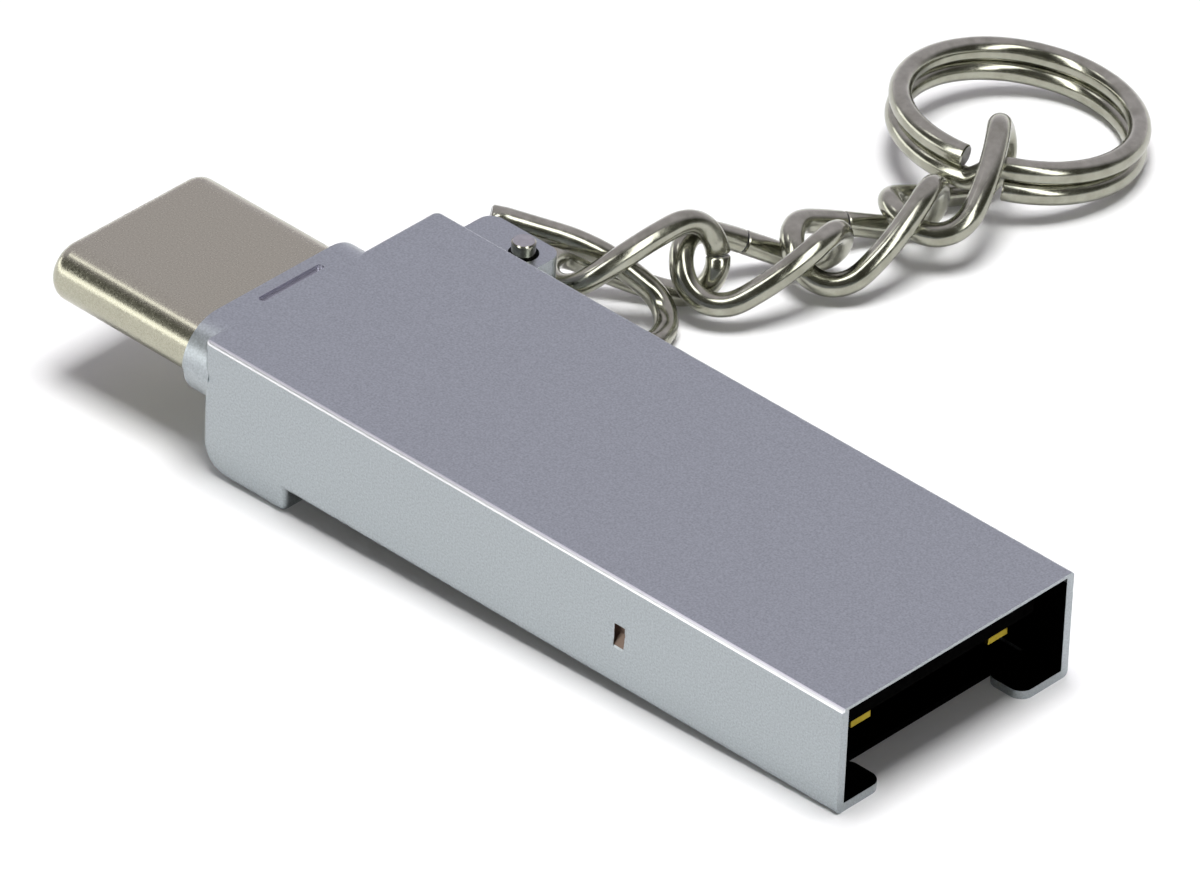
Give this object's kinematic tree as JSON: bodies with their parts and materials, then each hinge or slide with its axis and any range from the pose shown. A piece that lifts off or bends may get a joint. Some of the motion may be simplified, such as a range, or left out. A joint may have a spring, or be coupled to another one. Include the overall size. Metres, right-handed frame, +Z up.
{
  "type": "key-chain card reader",
  "caption": "Small metal memory card reader with a USB-C plug at one end, an open USB-A plug at the other, and a short curb chain with a split ring on an ear.",
  "frame": {"origin": "centre of the USB-A plug's mouth, in the plane of its rim", "axes": "+X out of the USB-A mouth, along the way it goes into a socket; +Y towards the ear and its chain; +Z up, out of the flat top"},
  "size_m": [0.0394, 0.041, 0.0055],
  "materials": {
    "housing_metal": "satin",
    "plug_metal": "satin",
    "black_plastic": "matte",
    "gold_contacts": "polished",
    "latch_steel": "satin",
    "board_laminate": "satin",
    "chip_resin": "matte",
    "capacitor_ceramic": "matte",
    "chain_nickel": "polished",
    "ring_nickel": "polished"
  },
  "bodies": {
    "reader": {"housing": "housing_metal", "usb_c_shell": "plug_metal", "usb_c_insulator": "black_plastic", "usb_c_upper_contacts": "gold_contacts", "usb_c_lower_contacts": "gold_contacts", "usb_c_side_latches": "latch_steel", "contact_carrier": "black_plastic", "usb_a_power_contacts": "gold_contacts", "usb_a_data_contacts": "gold_contacts", "circuit_board": "board_laminate", "controller_chip": "chip_resin", "crystal": "latch_steel", "chip_capacitors": "capacitor_ceramic", "chip_resistors": "chip_resin", "card_contacts": "gold_contacts", "card_tray": "black_plastic"},
    "chain_link_1": {"chain_link_1": "chain_nickel"},
    "chain_link_2": {"chain_link_2": "chain_nickel"},
    "chain_link_3": {"chain_link_3": "chain_nickel"},
    "chain_link_4": {"chain_link_4": "chain_nickel"},
    "chain_link_5": {"chain_link_5": "chain_nickel"},
    "split_ring": {"split_ring": "ring_nickel"}
  },
  "joints": [
    {"name": "ear_swing", "type": "hinge", "parent": "reader", "child": "chain_link_1", "pos_m": [-0.02801, 0.00745, 0.00055], "axis": [0, 0, 1], "range_deg": [-36, 1]},
    {"name": "first_link_swing", "type": "hinge", "parent": "chain_link_1", "child": "chain_link_2", "pos_m": [-0.02749, 0.01155, -0.00075], "axis": [-0.6981, -0.5087, 0.5038], "range_deg": [-30, 36]},
    {"name": "second_link_swing", "type": "hinge", "parent": "chain_link_2", "child": "chain_link_3", "pos_m": [-0.02556, 0.01478, -0.00016], "axis": [-0.4065, -0.4113, 0.8158], "range_deg": [-1, 36]},
    {"name": "third_link_swing", "type": "hinge", "parent": "chain_link_3", "child": "chain_link_4", "pos_m": [-0.02516, 0.01814, -0.00247], "axis": [-0.5821, -0.7075, 0.4007], "range_deg": [-18, 14]},
    {"name": "fourth_link_swing", "type": "hinge", "parent": "chain_link_4", "child": "chain_link_5", "pos_m": [-0.02307, 0.0232, -0.00253], "axis": [0.6716, 0.6221, 0.4024], "range_deg": [-8, 36]},
    {"name": "ring_swing", "type": "hinge", "parent": "chain_link_5", "child": "split_ring", "pos_m": [-0.02167, 0.02599, 0.00028], "axis": [0.523, -0.8057, -0.2779], "range_deg": [-34, 2]}
  ]
}
